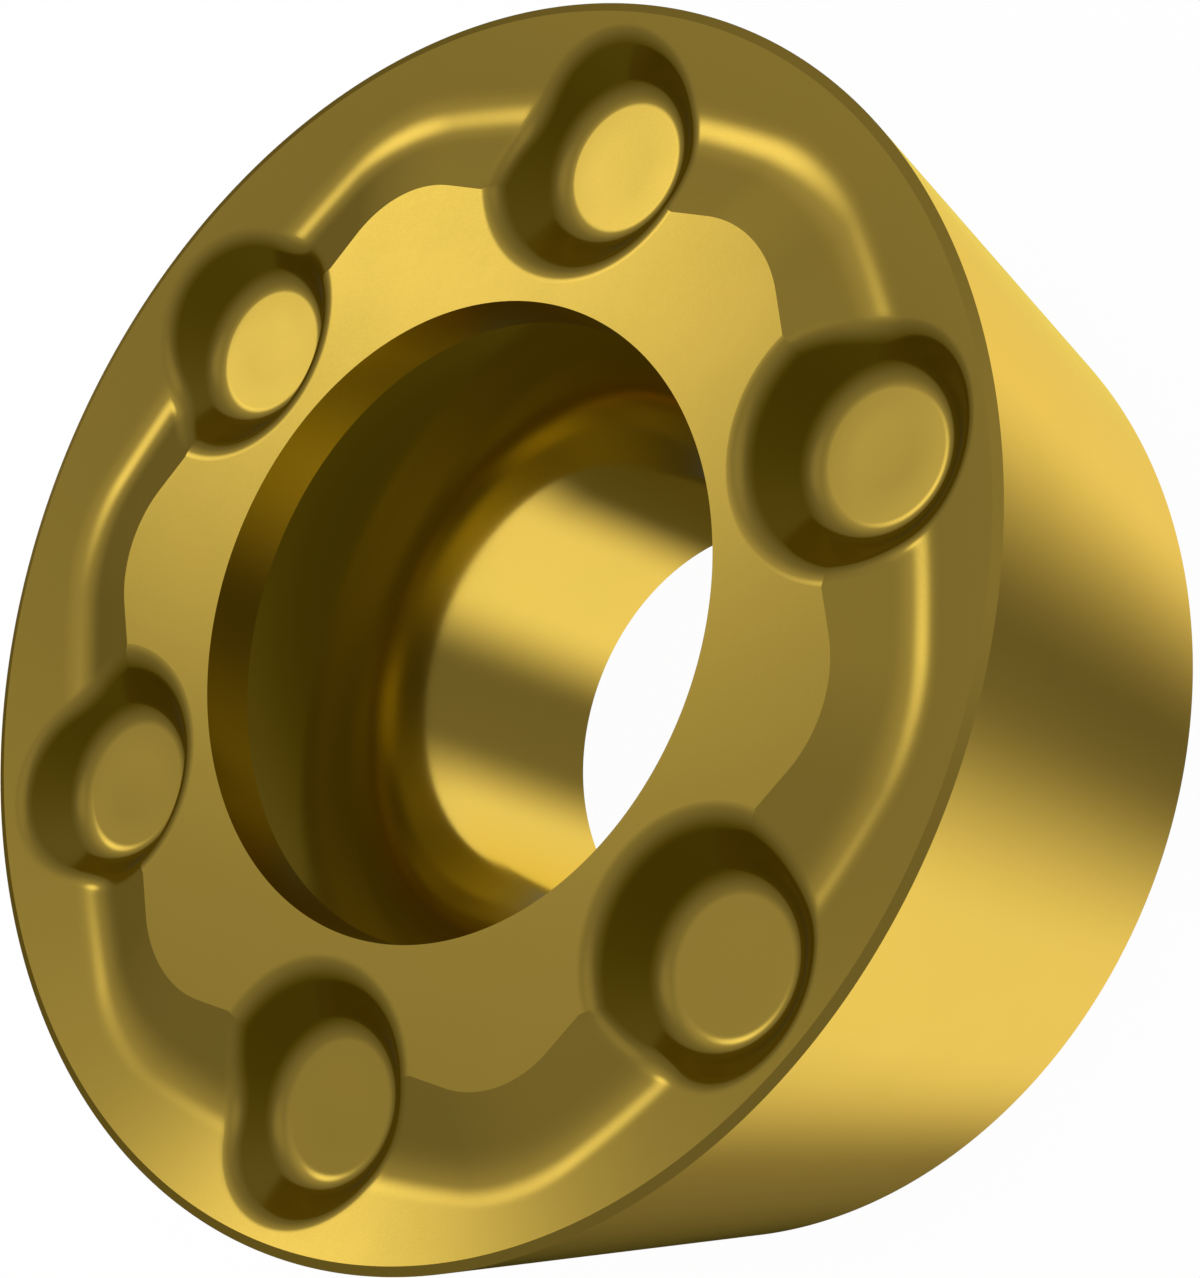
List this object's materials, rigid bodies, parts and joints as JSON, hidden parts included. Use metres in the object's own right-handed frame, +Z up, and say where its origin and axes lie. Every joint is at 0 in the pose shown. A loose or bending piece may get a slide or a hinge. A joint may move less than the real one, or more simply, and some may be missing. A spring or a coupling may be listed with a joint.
{
  "type": "carbide insert",
  "caption": "Round cutting insert: circular edge with a narrow land, sloped rake face, raised lobed platform with dimples, countersunk screw hole and tapered flank.",
  "frame": {"origin": "centre of the flat seat, on the axis of the screw hole", "axes": "+Z up the screw hole from the seat towards the cutting edge; +X through the centre of one dimple"},
  "size_m": [0.012, 0.012, 0.0048],
  "materials": {
    "coated_carbide": "satin gold nitride coating on pressed and sintered carbide"
  },
  "bodies": {
    "root": {"round_insert": "coated_carbide"}
  },
  "joints": []
}
